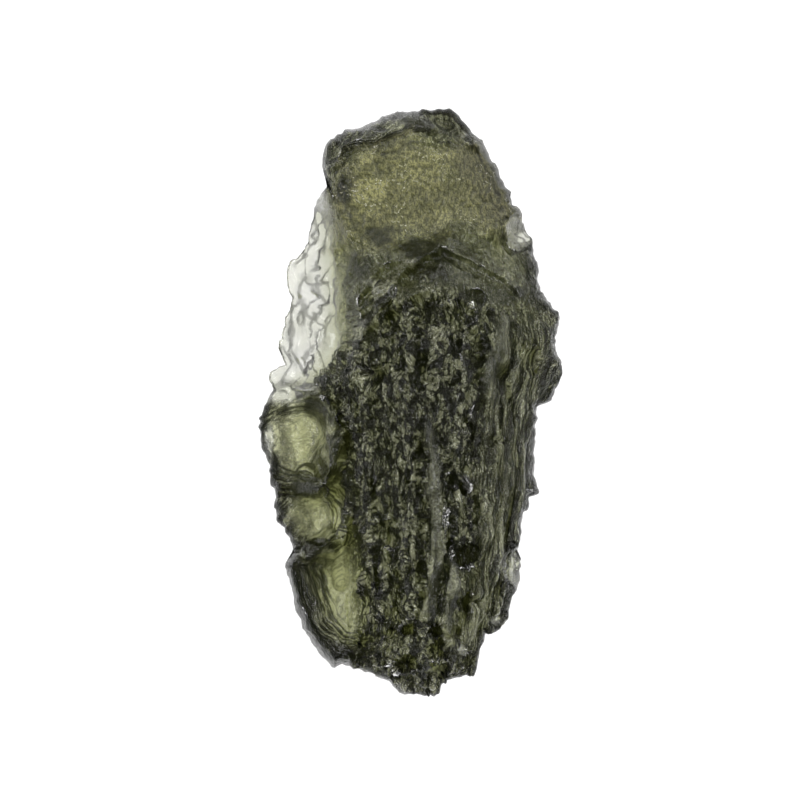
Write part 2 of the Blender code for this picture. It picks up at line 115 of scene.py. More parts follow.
RIDGES = (
    (((-3.3, -6.7), (-4.7, -7.2), (-6.2, -8.1)), 0.7, 1.0),
    (((-3.4, -3.7), (-4.7, -4.1), (-6.6, -4.2)), 0.5, 0.5),
    (((-5.8, -8.6), (-5.3, -10.3), (-4.5, -11.9), (-3.7, -12.8)), 0.9, 1.2),
    (((0.98, -1.0), (1.1, -3.1), (1.2, -4.4), (1.25, -6.3), (1.3, -7.9), (0.85, -10.4)), 0.45, 0.25),
    (((2.1, -7.8), (2.15, -9.6), (1.9, -11.0), (1.85, -11.8)), 0.4, 0.2),
    (((-4.3, 11.3), (-3.4, 12.75), (-2.0, 13.35), (0.2, 13.85), (2.2, 13.6), (3.4, 12.7)), 0.4, 0.45),
    (((5.4, 3.6), (5.2, 1.2), (4.9, -1.0), (4.8, -3.7), (4.6, -5.6), (4.3, -7.0), (4.1, -9.9), (3.4, -12.6)),
     0.4, 0.2),
    (((5.6, 1.0), (5.5, -4.0), (5.1, -6.6), (4.85, -9.6)), 0.35, 0.18),
    (((-2.6, 2.9), (-1.8, 4.5), (-1.0, 5.8), (0.2, 7.0), (1.5, 7.8)), 0.45, 0.45),
    (((1.5, 7.8), (3.2, 7.0), (4.6, 6.3), (5.6, 5.5)), 0.4, 0.35),
    (((2.6, 3.4), (2.6, 1.6), (2.3, -0.4)), 0.4, 0.3),
    (((3.35, 3.6), (3.3, 1.8), (3.25, 0.1)), 0.65, -0.45),
    (((4.5, 1.7), (4.75, 0.6), (5.0, -0.3)), 0.35, -0.2),
    (((2.9, -0.4), (3.0, -2.0), (2.9, -3.4)), 0.4, -0.3),
    (((0.5, -1.5), (0.6, -4.5), (0.65, -8.0), (0.3, -10.8)), 0.35, -0.3),
    (((1.65, -5.2), (1.75, -7.4), (1.5, -9.6)), 0.4, -0.25),
    (((3.4, -5.0), (3.3, -8.5), (2.4, -11.4)), 0.35, -0.25),
    (((-1.6, -4.0), (-1.5, -8.0), (-1.3, -11.0)), 0.4, -0.35),
    (((-3.75, -3.7), (-3.6, -5.2), (-3.5, -7.0), (-3.4, -9.0)), 0.55, -1.1),
)
PITS = (
    ((-0.4, 6.2), (1.4, 0.8), 0.7), ((1.7, 7.2), (0.5, 0.4), 0.4), ((2.5, 4.3), (0.8, 0.7), 0.7),
    ((0.7, 4.6), (0.85, 0.9), 0.75), ((-1.9, 4.9), (0.7, 0.9), 0.45), ((3.3, 5.2), (0.45, 0.4), 0.4),
    ((-0.9, 4.0), (0.6, 0.7), 0.45), ((2.15, -4.2), (0.7, 0.55), 0.85), ((2.7, -7.5), (0.7, 0.65), 0.85),
    ((4.1, -1.9), (0.35, 0.35), 0.45), ((4.65, -1.9), (0.3, 0.3), 0.4), ((1.35, -11.2), (0.5, 0.45), 0.6),
    ((1.4, -12.3), (0.6, 0.55), 0.8), ((2.6, -12.9), (0.7, 0.35), 0.5), ((2.9, -9.9), (0.65, 0.5), 0.7),
    ((-1.15, -11.7), (0.5, 0.4), 0.5), ((-2.2, -12.1), (0.75, 0.6), 0.7), ((-1.5, 1.2), (0.9, 0.7), 0.55),
    ((0.6, 1.5), (0.7, 0.9), 0.5), ((-2.2, -1.5), (0.7, 0.9), 0.5), ((-0.9, -6.5), (0.5, 0.8), 0.4),
    ((5.9, 2.2), (0.6, 0.9), 0.6), ((5.35, -8.3), (0.8, 1.3), 2.8), ((4.4, -10.9), (0.65, 0.55), 1.7),
    ((0.1, -11.3), (0.55, 0.45), 1.1), ((-0.25, -13.0), (0.65, 0.5), 1.4), ((2.1, -11.6), (0.5, 0.4), 0.9),
    ((5.7, 8.6), (0.9, 1.0), 2.2), ((2.6, -12.3), (0.5, 0.4), 0.5), ((1.35, -13.4), (0.65, 0.5), 1.5),
)
PIT_POWER = 0.8

# Etched hollows: their size, how many lie along the stone, and their depth above, on the facet and below
HOLLOW = 1.1
HOLLOW_COUNT = ((-15.0, -6.2), (-8.0, -3.0), (-2.0, -0.4), (3.0, 2.2), (6.0, 4.6), (15.0, 12.5))
UPPER_DEPTH = 0.45
FACET_DEPTH = 0.05
UNDER_DEPTH = 0.4
UNDER_HOLLOW = 1.5

# Fine relief: how wide and long each kind is, and how deep or high
CUP_WIDE, CUP_LONG, CUP_DEEP = 0.65, 0.65, 0.24
SMALL_CUP_WIDE, SMALL_CUP_LONG, SMALL_CUP_DEEP = 0.32, 0.36, 0.13
CLEFT_WIDE, CLEFT_LONG, CLEFT_DEEP = 0.42, 0.5, 0.16
RIB_WIDE, RIB_LONG, RIB_HIGH = 0.55, 5.0, 0.16
STRAND_WIDE, STRAND_LONG, STRAND_HIGH = 0.3, 5.0, 0.1
THREAD_WIDE, THREAD_LONG, THREAD_HIGH = 0.2, 1.6, 0.07
LAYER_WIDE, LAYER_LONG, LAYER_HIGH = 0.2, 3.0, 0.09
TERRACE_WIDE, TERRACE_HIGH = 0.55, 0.13
SCOOP_FLUTE_WIDE, SCOOP_FLUTE_TURN, SCOOP_FLUTE_HIGH = 0.2, 0.9, 0.1
FOOT_FLUTE_WIDE, FOOT_FLUTE_LONG, FOOT_FLUTE_HIGH = 0.22, 2.5, 0.1
UNDER_CUP_WIDE, UNDER_CUP_LONG, UNDER_CUP_DEEP = 0.6, 0.7, 0.14
DRAWN_LINE_DEEP = 0.05
RING_DEEP = 0.08

# The rim: the thinnest glass, how far out its teeth stand, and how its edge is rounded: share of the
# thickness, least and most
THINNEST = 0.22
TEETH = 0.09
ROUNDED_SHARE, ROUNDED_LEAST, ROUNDED_MOST = 0.3, 0.15, 0.5

# Skin whose normal points up at least this much belongs to the upper side
TURNS_UNDER = -0.2

# How far from the middle the skin's patterns are folded out in full, across and along, and by what share.
# Lines that follow the rim count a drop by a share of their own
FOLDED_OUT = (2.5, 9.0)
FOLDED_SHARE = 0.7
RIM_FOLDED_SHARE = 0.6

# Where the wing ends above the upper scoop: (x, y)
WING_FOOT = ((-9.0, 0.0), (-6.5, 0.0), (-5.6, 0.1), (-4.8, 0.65), (-4.0, 1.2), (-3.0, 1.9), (8.0, 1.9))

# Thin, nearly clear places on the rim: centre and half sizes
WINDOWS = (
    ((5.6, 8.5), (0.75, 0.75)), ((5.35, -8.3), (0.4, 1.0)), ((4.4, -10.9), (0.45, 0.35)),
    ((-7.1, -2.2), (0.25, 1.0)), ((2.6, -12.3), (0.4, 0.3)), ((1.3, -13.5), (0.5, 0.25)),
)

# The shoulder under the facet, which is fine-grained and not cellular
CALM = (
    (-3.8, 9.8), (-3.7, 3.3), (-2.9, 2.6), (-2.0, 3.6), (-1.3, 5.2), (0.2, 5.6), (2.4, 5.4), (4.0, 4.7),
    (7.2, 4.4), (7.0, 9.8),
)

# Diagonal fibres left of the bowls, the fold above the foot, and a round mark in the upper scoop: centre
# and radius
FIBRES = ((-2.8, 3.0), (-2.0, 4.4), (-1.2, 5.4))
FIBRES_WIDE = 0.9
FIBRES_RUN = (0.65, 0.76)
FOLD = ((-3.3, -6.7), (-4.7, -7.2), (-6.2, -8.1))
RING = (-6.1, -1.3, 0.38)

# Steps and cracks, cut as shallow grooves with painted shade along them: on the wing, round the facet and on
# the shoulder
DRAWN_LINES = (
    ((-4.95, 9.2), (-4.75, 8.0), (-5.3, 7.5), (-5.3, 6.2)), ((-4.6, 6.4), (-4.7, 5.7), (-4.55, 5.0)),
    ((-5.4, 6.05), (-4.7, 5.9), (-4.1, 6.05)), ((-5.4, 5.9), (-5.3, 4.4), (-4.8, 4.1), (-4.3, 3.8)),
    ((-4.0, 4.4), (-4.3, 3.2)), ((-5.9, 5.1), (-6.0, 4.3), (-5.8, 3.0), (-5.9, 2.4), (-5.4, 1.5)),
    ((-5.0, 2.9), (-5.4, 2.2), (-5.3, 1.6)), ((-6.3, 2.6), (-6.0, 2.0), (-6.5, 1.0)),
    ((-4.1, 0.9), (-4.8, 0.6), (-5.6, 0.1), (-6.3, 0.0)),
    ((-1.3, 12.2), (-0.6, 12.6), (0.3, 12.9)), ((-1.7, 12.0), (-1.4, 11.3)), ((-3.9, 12.9), (-3.0, 13.2)),
    ((-3.8, 11.5), (-3.1, 12.5), (-2.3, 13.3)), ((2.9, 13.2), (3.5, 12.4), (4.1, 11.3), (4.5, 10.4)),
    ((-3.4, 11.3), (-3.3, 10.2), (-2.7, 8.8), (-2.4, 7.6)), ((1.0, 8.3), (1.4, 7.7), (2.3, 7.1), (3.3, 6.1)),
    ((4.6, 8.9), (4.7, 8.0), (5.4, 7.6), (6.0, 7.7)), ((4.7, 9.0), (5.3, 9.2)),
    ((4.3, 4.4), (4.0, 3.0), (4.1, 1.4)), ((5.0, 3.9), (4.95, 2.6), (4.7, 1.4)), ((5.4, 1.9), (5.2, 0.4)),
)

# Where the etching is left smooth: two rounded ribs and the dull patch under the facet
SMOOTH_LINES = (
    (((0.98, -1.0), (1.1, -3.1), (1.2, -4.4), (1.25, -6.3), (1.3, -7.9), (0.85, -10.4)), 0.28),
    (((2.1, -7.8), (2.15, -9.6), (1.9, -11.0), (1.85, -11.8)), 0.25),
    (((1.6, 7.9), (2.3, 7.0), (3.1, 5.9)), 0.45),
    (((4.6, 3.9), (4.5, 2.6), (4.1, 1.3)), 0.42),
    (((-3.6, -8.0), (-3.5, -9.6), (-3.4, -11.6)), 0.6),
)

# Paler and darker patches of the skin, partly its own mottling, partly painted highlights on glints in the
# scoops and the lower body and painted shade in the pits: centre, half sizes, how much paler or darker
TONES = (
    # on the facet, under it and on the shoulder
    ((-2.3, 12.2), (0.5, 0.4), 0.3), ((-2.3, 10.6), (0.8, 0.6), 0.25), ((-1.4, 10.7), (0.3, 0.5), 0.3),
    ((1.6, 12.3), (0.7, 0.25), 0.25), ((-2.0, 10.3), (0.9, 1.1), 0.15), ((0.8, 11.5), (1.2, 1.1), 0.12),
    ((1.6, 9.3), (0.45, 0.3), 0.2), ((-0.3, 8.2), (0.8, 0.3), 0.2), ((2.8, 8.2), (0.5, 0.3), 0.15),
    ((-3.9, 12.0), (0.4, 1.2), 0.35), ((-2.6, 13.5), (1.2, 0.35), 0.3),
    ((1.8, 14.4), (0.7, 0.25), 0.15), ((0.5, 13.8), (0.8, 0.4), -0.35), ((-3.3, 10.6), (0.4, 0.8), -0.25),
    ((-1.3, 8.3), (1.2, 0.5), -0.2), ((0.3, 7.7), (1.0, 0.5), -0.35), ((1.8, 8.3), (0.8, 0.5), -0.1),
    ((-2.5, 7.0), (0.5, 0.8), -0.2), ((0.9, 6.4), (0.9, 0.4), -0.2), ((1.6, 7.2), (0.5, 0.3), -0.35),
    ((0.6, 5.3), (0.5, 0.35), 0.4), ((4.6, 7.2), (0.7, 0.6), 0.25), ((4.9, 6.3), (0.4, 0.2), 0.3),
    ((3.4, 5.2), (0.5, 0.45), -0.3), ((5.5, 5.5), (0.3, 0.3), -0.2), ((5.4, 8.7), (0.7, 0.6), 0.5),
    # upper body
    ((-0.35, 4.1), (0.4, 0.4), 0.45), ((1.7, 3.9), (0.5, 0.3), 0.5), ((0.7, 4.6), (0.8, 0.6), -0.25),
    ((2.5, 4.6), (0.6, 0.5), -0.2), ((1.65, 2.6), (0.4, 0.6), 0.35), ((2.45, 3.0), (0.45, 0.5), 0.35),
    ((2.5, 1.5), (0.5, 0.65), 0.55), ((3.55, 4.0), (0.3, 0.25), 0.3), ((3.35, 3.3), (0.35, 0.25), 0.35),
    ((3.4, 2.5), (0.5, 0.7), -0.4), ((3.4, 0.9), (0.3, 1.2), -0.35), ((4.5, 3.2), (0.5, 1.0), 0.1),
    ((5.25, 3.3), (0.2, 0.5), 0.45), ((5.6, 2.5), (0.5, 0.4), 0.35), ((5.5, 1.2), (0.4, 0.6), 0.25),
    ((-0.1, 1.7), (1.2, 0.7), 0.35), ((-0.5, 2.5), (0.5, 0.3), -0.35), ((0.5, 3.0), (0.6, 0.3), -0.35),
    ((-3.4, 1.4), (0.5, 0.5), -0.35), ((-3.3, 0.4), (0.5, 0.4), -0.3), ((-2.0, 0.9), (0.9, 0.35), 0.2),
    ((1.3, 0.5), (0.25, 0.6), 0.35), ((1.8, 0.1), (0.4, 0.9), -0.25), ((4.55, 0.9), (0.15, 0.9), -0.4),
    # middle, with painted shade in a pit
    ((-0.8, -0.4), (0.5, 0.35), -0.35), ((0.5, -0.7), (0.7, 0.8), -0.2), ((-1.4, -0.2), (0.3, 0.3), 0.35),
    ((2.3, -0.4), (0.35, 0.5), 0.25), ((2.25, -1.4), (0.35, 0.5), 0.35), ((2.3, -2.7), (0.35, 0.7), 0.55),
    ((3.2, -1.2), (0.25, 1.3), -0.35), ((4.5, -0.9), (0.4, 0.8), 0.5), ((4.2, -2.6), (0.5, 0.4), 0.3),
    ((4.4, -3.5), (0.5, 0.5), 0.25), ((-2.2, -1.6), (0.4, 0.4), 0.25), ((-1.4, -1.8), (0.35, 0.7), 0.3),
    ((-0.4, -2.6), (0.5, 1.2), 0.3), ((-2.0, -3.4), (1.0, 0.45), -0.35), ((-3.2, -3.7), (0.5, 0.4), -0.3),
    ((1.8, -2.2), (0.3, 0.5), -0.3), ((2.2, -4.2), (0.8, 0.5), -0.8), ((-1.6, -4.5), (1.2, 0.45), -0.3),
    ((0.45, -4.6), (0.45, 1.0), 0.55), ((-2.5, -5.2), (0.8, 0.6), -0.3), ((-0.6, -5.3), (0.5, 0.4), -0.3),
    # lower body, with painted glints and painted shade in its pits
    ((-0.6, -7.8), (1.7, 3.6), 0.4), ((3.0, -8.5), (1.2, 3.0), 0.1), ((0.4, -13.2), (2.0, 1.0), 0.5),
    ((2.6, -11.6), (1.0, 0.6), 0.4), ((-1.6, -13.0), (1.0, 0.4), 0.2), ((-3.05, -1.9), (0.3, 1.6), -0.4),
    ((0.1, -6.9), (0.8, 1.5), 0.4), ((2.7, -5.4), (0.25, 0.5), 0.4), ((3.6, -5.7), (0.45, 0.5), 0.35),
    ((2.0, -5.8), (0.4, 0.6), -0.3), ((2.7, -7.6), (0.8, 0.8), -0.6), ((-2.7, -7.5), (0.35, 0.9), -0.3),
    ((0.3, -8.6), (0.7, 0.7), 0.4), ((-1.8, -8.8), (0.5, 1.0), 0.25), ((-0.7, -9.5), (0.5, 0.4), -0.25),
    ((2.8, -8.6), (0.4, 0.3), 0.3), ((2.7, -10.0), (0.8, 0.45), -0.5), ((0.2, -10.0), (0.3, 0.5), 0.4),
    ((1.4, -10.5), (0.3, 0.3), -0.5), ((1.35, -11.3), (0.4, 0.4), -0.6), ((0.4, -11.3), (0.5, 0.4), 0.45),
    ((3.3, -10.8), (0.5, 0.5), 0.25), ((2.6, -12.2), (0.6, 0.4), 0.5), ((1.45, -12.3), (0.5, 0.5), -0.5),
    ((2.5, -12.9), (0.7, 0.3), -0.5), ((-1.2, -11.7), (0.6, 0.45), -0.45), ((-2.2, -12.4), (0.8, 0.7), -0.4),
    ((1.4, -13.3), (0.7, 0.4), 0.4), ((-0.5, -13.4), (0.5, 0.4), 0.35), ((0.1, -12.4), (0.5, 0.4), 0.35),
    ((4.3, -10.9), (0.5, 0.4), 0.5), ((5.3, -8.3), (0.4, 1.0), 0.5),
    # wing, scoops and foot, with small painted highlights in the scoops
    ((-5.3, 6.3), (0.3, 0.4), -0.35), ((-6.1, 5.0), (0.3, 0.4), -0.4),
    ((-6.1, 3.6), (0.2, 0.6), -0.4), ((-5.8, 2.2), (0.2, 0.7), -0.35), ((-4.4, 3.0), (0.2, 0.6), -0.25),
    ((-5.7, -2.0), (0.35, 0.8), 0.4), ((-6.0, -0.8), (0.3, 0.35), 0.35), ((-5.3, -3.0), (0.3, 0.45), 0.35),
    ((-4.5, -1.8), (0.13, 0.4), 0.6), ((-5.7, -5.6), (0.35, 0.4), 0.5), ((-4.9, -4.9), (0.2, 0.2), 0.6),
    ((-4.4, -5.1), (0.3, 0.25), 0.6), ((-4.5, -6.0), (0.2, 0.35), 0.5), ((-5.0, -6.5), (0.25, 0.2), 0.5),
    ((-3.65, -5.2), (0.35, 1.8), 0.6), ((-3.5, -7.6), (0.5, 0.8), 0.3), ((-3.4, -10.0), (0.6, 1.8), 0.3),
    ((-4.5, -9.8), (0.15, 0.4), 0.6), ((-7.1, -1.7), (0.15, 0.3), 0.6), ((-6.9, -2.9), (0.15, 0.5), 0.6),
    ((-6.6, -4.6), (0.15, 0.4), 0.4), ((-5.0, -0.3), (0.4, 0.4), -0.3), ((-5.4, -4.3), (0.9, 0.3), -0.3),
    ((-3.9, -5.6), (0.25, 0.7), -0.2), ((-4.3, -9.0), (0.1, 1.2), -0.4), ((-3.6, -12.6), (0.6, 0.4), -0.3),
)
TONES_SCALE = 1.25
BODY_TONE = 0.58
CALM_TONE = 0.18
STRAND_TONE = 0.5
SMOOTH_TONE = 0.22
BAND_TONE = 0.45
LINED_TONE = 0.36
FACET_TONE = 0.27
SCOOP_TONE = 0.72
WING_TONE = 1.0

# Glass: how much light it takes up for each millimetre, in red, green and blue
ABSORPTION = (0.46, 0.44, 0.68)
IOR = 1.49

# The skin: the share of light that goes through it, its frosted grains, a painted glint on its specks, and
# the painted shade of its crevices
CLEAR = 0.78
SHINE = 0.4
LEAST_ROUGH, MATT_ROUGH = 0.1, 0.33
FROSTED = (0.96, 0.97, 0.67, 1.0)
FACET_SKIN = (0.97, 0.9, 0.46, 1.0)
PAINTED_SPECK_GLINT = (1.0, 0.97, 0.78, 1.0)
THIN_SKIN = (0.99, 0.99, 0.95, 1.0)
PAINTED_CREVICE_SHADE = (0.02, 0.022, 0.012, 1.0)

# Patterns in the skin: their size across the flow, along it, and a third one that flat patterns don't use
SPOTS = (0.14, 0.17, 1.0)
FLUTES = (0.14, 1.3, 1.0)
FILAMENTS = (0.27, 0.45, 1.0)
THREADS = (0.19, 1.4, 1.0)
PATCHES = (0.45, 0.75, 1.0)
STREAKS = (0.15, 4.0, 1.0)
PANELS = (0.5, 3.5, 1.0)
SAND = (0.24, 0.24, 1.0)
GRIT = (0.08, 0.09, 1.0)
CLUSTERS = (1.3, 1.1, 1.0)
SPECKS = (0.17, 0.14, 1.0)

# Picture: the photograph's frame is 40 mm across, and its middle is a little left of the stone's
VIEW_ACROSS = 40.0
VIEW_MIDDLE = (-0.5, 0.1)
CAMERA_HEIGHT = 350.0
FLOOR_LIFT = -0.03
FLOOR_WIDTH = 1600.0
FLOOR_GREY = (0.3, 0.3, 0.3, 1.0)
ROOM_LIGHT = 0.12
WHITE = (1.0, 1.0, 1.0, 1.0)


def eased(low, high, t):
    """0 below low, 1 above high, and a smooth rise between."""
    s = np.clip((t - low) / (high - low), 0.0, 1.0)
    return s * s * (3 - 2 * s)


def through(knots, t):
    """A smooth curve through knots, which are pairs of place and value, read at t."""
    place, value = np.array(knots, float).T
    slope = np.gradient(value, place)
    i = np.clip(np.searchsorted(place, t) - 1, 0, len(place) - 2)
    step = place[i + 1] - place[i]
    s = np.clip((t - place[i]) / step, 0.0, 1.0)
    return (
        value[i] * (1 + 2 * s) * (1 - s) ** 2
        + value[i + 1] * s * s * (3 - 2 * s)
        + slope[i] * step * s * (1 - s) ** 2
        - slope[i + 1] * step * s * s * (1 - s)
    )


def away_from(x, y, line):
    """Distance from each place to a line of points."""
    nearest = np.full(x.shape, np.inf)
    for (ax, ay), (bx, by) in itertools.pairwise(line):
        dx, dy = bx - ax, by - ay
        t = np.clip(((x - ax) * dx + (y - ay) * dy) / (dx * dx + dy * dy), 0.0, 1.0)
        nearest = np.minimum(nearest, np.hypot(x - ax - t * dx, y - ay - t * dy))
    return nearest


def inside(x, y, ring):
    """True for each place inside a closed ring of points."""
    found = np.zeros(x.shape, bool)
    for (ax, ay), (bx, by) in zip(ring, ring[1:] + ring[:1]):
        crosses = (ay > y) != (by > y)
        side = (bx - ax) * (y - ay) / (by - ay + 1e-12) + ax
        found ^= crosses & (x < side)
    return found


def within(x, y, ring):
    """Distance in from a closed ring of points, and less than 0 outside it."""
    return np.where(inside(x, y, ring), 1, -1) * away_from(x, y, ring + ring[:1])


def hashed(corner, seed):
    """A repeatable number from 0 to 1 for each row of whole numbers."""
    mixed = np.full(len(corner), seed, np.uint32)
    for column, prime in zip(corner.T, (73856093, 19349663, 83492791)):
        mixed ^= column.astype(np.int64).astype(np.uint32) * np.uint32(prime)
        mixed ^= mixed >> np.uint32(16)
        mixed = mixed * np.uint32(0x7FEB352D)
        mixed ^= mixed >> np.uint32(15)
    return mixed / 2.0**32


def noise(seed, *axes):
    """Smooth noise from -1 to 1, about one lump a unit, in as many directions as it is given."""
    points = np.stack(axes, axis=1)
    low = np.floor(points)
    part = points - low
    ease = part**3 * (part * (part * 6 - 15) + 10)
    total = np.zeros(len(points))
    for corner in itertools.product((0, 1), repeat=len(axes)):
        weight = np.prod(np.where(np.array(corner), ease, 1 - ease), axis=1)
        total += weight * hashed(low + corner, seed)
    return 2 * total - 1


def cells(seed, *axes):
    """Distances to the nearest and the second of scattered spots, about one spot a unit."""
    points = np.stack(axes, axis=1)
    low = np.floor(points)
    nearest = np.full(len(points), np.inf)
    second = nearest.copy()
    for step in itertools.product((-1, 0, 1), repeat=len(axes)):
        corner = low + step
        spot = np.stack([hashed(corner, seed + k) for k in range(len(axes))], axis=1)
        square = ((points - corner - spot) ** 2).sum(axis=1)
        second = np.minimum(second, np.maximum(nearest, square))
        nearest = np.minimum(nearest, square)
    return np.sqrt(nearest), np.sqrt(second)


def bowls(seed, *axes):
    """Hollows side by side: 0 at the bottom of each, about 1 on the sharp crests between them."""
    return np.clip(cells(seed, *axes)[0] ** 2 / 0.6, 0.0, 1.4)


def crevices(seed, width, *axes):
    """1 along the borders between scattered spots, falling to 0 over a width."""
    nearest, second = cells(seed, *axes)
    return eased(width, 0.0, second - nearest)


def outline_radius(angle):
    """The outline's own distance from the middle in each direction, and the same smoothed."""
    ring = np.array(OUTLINE + OUTLINE[:1])
    dense = np.concatenate([np.linspace(a, b, 8, endpoint=False) for a, b in itertools.pairwise(ring)])
    bearing = np.arctan2(dense[:, 1], dense[:, 0])
    order = np.argsort(bearing)
    even = np.linspace(-np.pi, np.pi, 1440, endpoint=False)
    radius = np.interp(even, bearing[order], np.hypot(*dense.T)[order], period=2 * np.pi)
    waves = np.fft.rfft(radius)
    waves[14:] = 0
    smoothed = np.fft.irfft(waves, len(even))
    return (
        np.interp(angle, even, radius, period=2 * np.pi),
        np.interp(angle, even, smoothed, period=2 * np.pi),
    )


def spread(u, v):
    """Places in the outline for a square grid from -1 to 1, closer together near the rim."""
    crowd = 0.3
    u = (1 - crowd) * u + crowd * np.sin(u * np.pi / 2)
    v = (1 - crowd) * v + crowd * np.sin(v * np.pi / 2)
    across = u * np.sqrt(1 - v * v / 2)
    along = v * np.sqrt(1 - u * u / 2)
    share = np.hypot(across, along)
    angle = np.arctan2(along * LENGTH, across * WIDTH)
    radius, smoothed = outline_radius(angle)
    reach = share * smoothed + (radius - smoothed) * share**8
    return reach * np.cos(angle), reach * np.sin(angle)


def belly(x, y):
    """Height of the underside before it is cut flat."""
    off = ((x - BELLY[0]) / BELLY_REACH[0]) ** 2 + ((y - BELLY[1]) / BELLY_REACH[1]) ** 2
    return BELLY_RISE * off - FLAT_CUT


def from_scoop(x, y, middle):
    """Distance from a scoop's middle, which wanders a little."""
    return np.hypot(x - middle[0], y - middle[1]) + 0.3 * noise(211, x / 1.2, y / 1.2)


def upper_form(x, y):
    """Height of the upper side: thin wing, thick body, facet, scoops, ridges and pits."""
    left, right = through(BODY_LEFT, y), through(RIGHT_EDGE, y)
    share = (x - left) / (right - left)
    back = through(BACK, y) * BODY_THICKNESS
    body = back - LEFT_SHOULDER * (1 - eased(0.0, 0.4, share))
    body -= RIGHT_SHOULDER * eased(0.5, 1.0, share) ** 1.3
    at_rim = through(SHELF_AT_RIM, y)
    shelf = belly(x, y) + at_rim + (through(SHELF_AT_BODY, y) - at_rim) * eased(*SHELF_SLOPE, x - left)
    top = shelf + (body - shelf) * eased(*LEFT_FLANK, x - left)
    for scoop_middle, inner, outer, height in SCOOPS:
        away = from_scoop(x, y, scoop_middle)
        flank = eased(inner, outer, away) * eased(outer + SCOOP_BACK, outer, away)
        flank *= height * eased(*SCOOP_OPENING, x)
        top = np.maximum(top, shelf + (body - shelf) * flank)
    facet = through(FACET_HEIGHTS, y) + 0.02 * x * x
    top += (facet - top) * eased(-0.5, 0.7, within(x, y, FACET))
    for line, half_width, height in RIDGES:
        rise = eased(1.0, 0.0, away_from(x, y, line) / half_width)
        top += height * rise
    for (cx, cy), (rx, ry), depth in PITS:
        off = ((x - cx) / rx) ** 2 + ((y - cy) / ry) ** 2
        top -= depth * np.clip(1 - off, 0.0, 1.0) ** PIT_POWER
    return top


def flow(x, y):
    """Distance across the stone, measured along lines that bend with its right edge."""
    bend = RIGHT_EDGE[7][1] / through(RIGHT_EDGE, y)
    return x * (1 + (bend - 1) * eased(-1, 5, x))


def unrolled(x, y, z):
    """Places on the skin as if its sides were folded out flat: across the stone and along it."""
    drop = through(BACK, y) * BODY_THICKNESS - z
    middle = (through(BODY_LEFT, y) + through(RIGHT_EDGE, y)) / 2
    outward_x = np.clip((x - middle) / FOLDED_OUT[0], -1, 1)
    outward_y = np.clip(y / FOLDED_OUT[1], -1, 1)
    return flow(x, y) + FOLDED_SHARE * outward_x * drop, y + FOLDED_SHARE * outward_y * drop


def along_fibres(x, y):
    """Distances across the diagonal fibres and along them."""
    run_x, run_y = FIBRES_RUN
    return run_y * x - run_x * y, run_x * x + run_y * y


def etching(x, y, z, upper, rim):
    """The hollows of about a millimetre that the solid has too."""
    drawn = bowls(11, flow(x, y) / HOLLOW, through(HOLLOW_COUNT, y), z / HOLLOW)
    smooth = eased(-0.3, 0.3, within(x, y, FACET))
    above = (UPPER_DEPTH + (FACET_DEPTH - UPPER_DEPTH) * smooth) * (drawn - 0.5)
    below = UNDER_DEPTH * (bowls(23, x / UNDER_HOLLOW, y / UNDER_HOLLOW, z / UNDER_HOLLOW) - 0.5)
    below *= eased(-FLAT_CUT, FLAT_CUT, belly(x, y)) * (1 - 0.6 * eased(5.0, 8.0, y))
    return np.where(upper, above, below) * eased(0.0, 0.7, rim)


def regions(x, y):
    """How much each place is facet, band, wing, foot, scoop, strands, smooth rib and calm shoulder."""
    left, right = through(BODY_LEFT, y), through(RIGHT_EDGE, y)
    share = (x - left) / (right - left)
    wander = 0.5 * noise(163, x / 1.4, y / 1.4) + 0.25 * noise(167, x / 0.4, y / 0.4)
    in_facet = within(x, y, FACET)
    facet = eased(-0.5, 0.9, in_facet + wander)
    band = eased(0.3, -0.2, in_facet) * eased(10.8, 12.0, y)
    thin = eased(0.2, -0.45, x - left) * (1 - band)
    window = np.zeros(x.shape)
    for (cx, cy), (rx, ry) in WINDOWS:
        off = np.hypot((x - cx) / rx, (y - cy) / ry)
        window = np.maximum(window, eased(1.2, 0.8, off + 0.4 * wander))
    above_scoop = y - through(WING_FOOT, x) + 0.2 * wander
    wing = np.maximum(thin * eased(-0.25, 0.25, above_scoop), window)
    foot = thin * eased(-7.4, -8.2, y)
    scoop = np.clip(thin - wing - foot, 0, 1) * eased(4.0, 2.0, y)
    strands = eased(0.66, 0.82, share + 0.05 * wander) * (1 - wing)
    strands *= eased(5.0, 3.5, y) * eased(-13.5, -12.0, y)
    smooth = np.zeros(x.shape)
    for line, half_width in SMOOTH_LINES:
        smooth = np.maximum(smooth, eased(1.3, 0.7, away_from(x, y, line) / half_width - 0.4 * wander))
    calm = eased(-0.5, 0.4, within(x, y, CALM) + 0.7 * wander) * (1 - facet) * (1 - band) * (1 - wing)
    return facet, band, wing, foot, scoop, strands, smooth, calm


